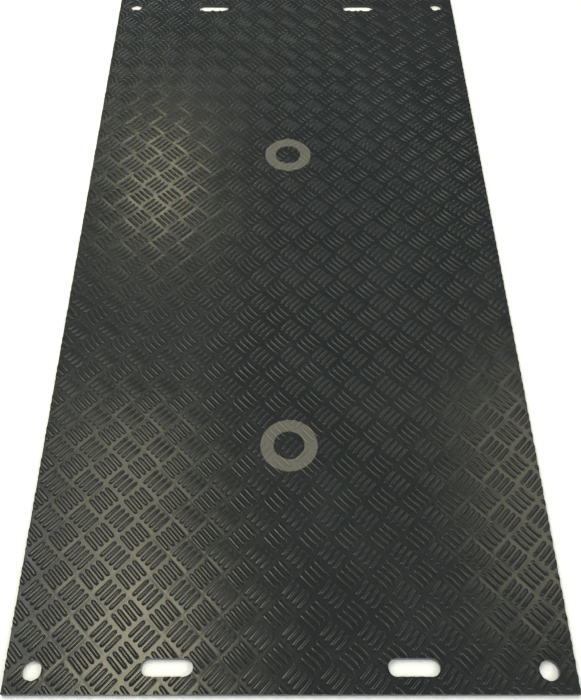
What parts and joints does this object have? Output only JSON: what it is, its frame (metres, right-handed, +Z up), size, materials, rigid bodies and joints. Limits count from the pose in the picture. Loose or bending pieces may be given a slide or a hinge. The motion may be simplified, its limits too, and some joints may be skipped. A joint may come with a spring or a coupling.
{
  "type": "ground protection mat",
  "caption": "Flat rectangular ground protection mat with a raised basket-weave bar tread, round corner holes and hand slots at both ends.",
  "frame": {"origin": "middle of the underside, where the mat rests on the ground", "axes": "+Y along the mat, with the end nearest the camera at -Y; +X across it; +Z up, out of the tread"},
  "size_m": [1.2, 2.4, 0.015],
  "materials": {
    "mat": "moulded recycled plastic with a soft sheen"
  },
  "bodies": {
    "root": {"mat": "mat"}
  },
  "joints": []
}
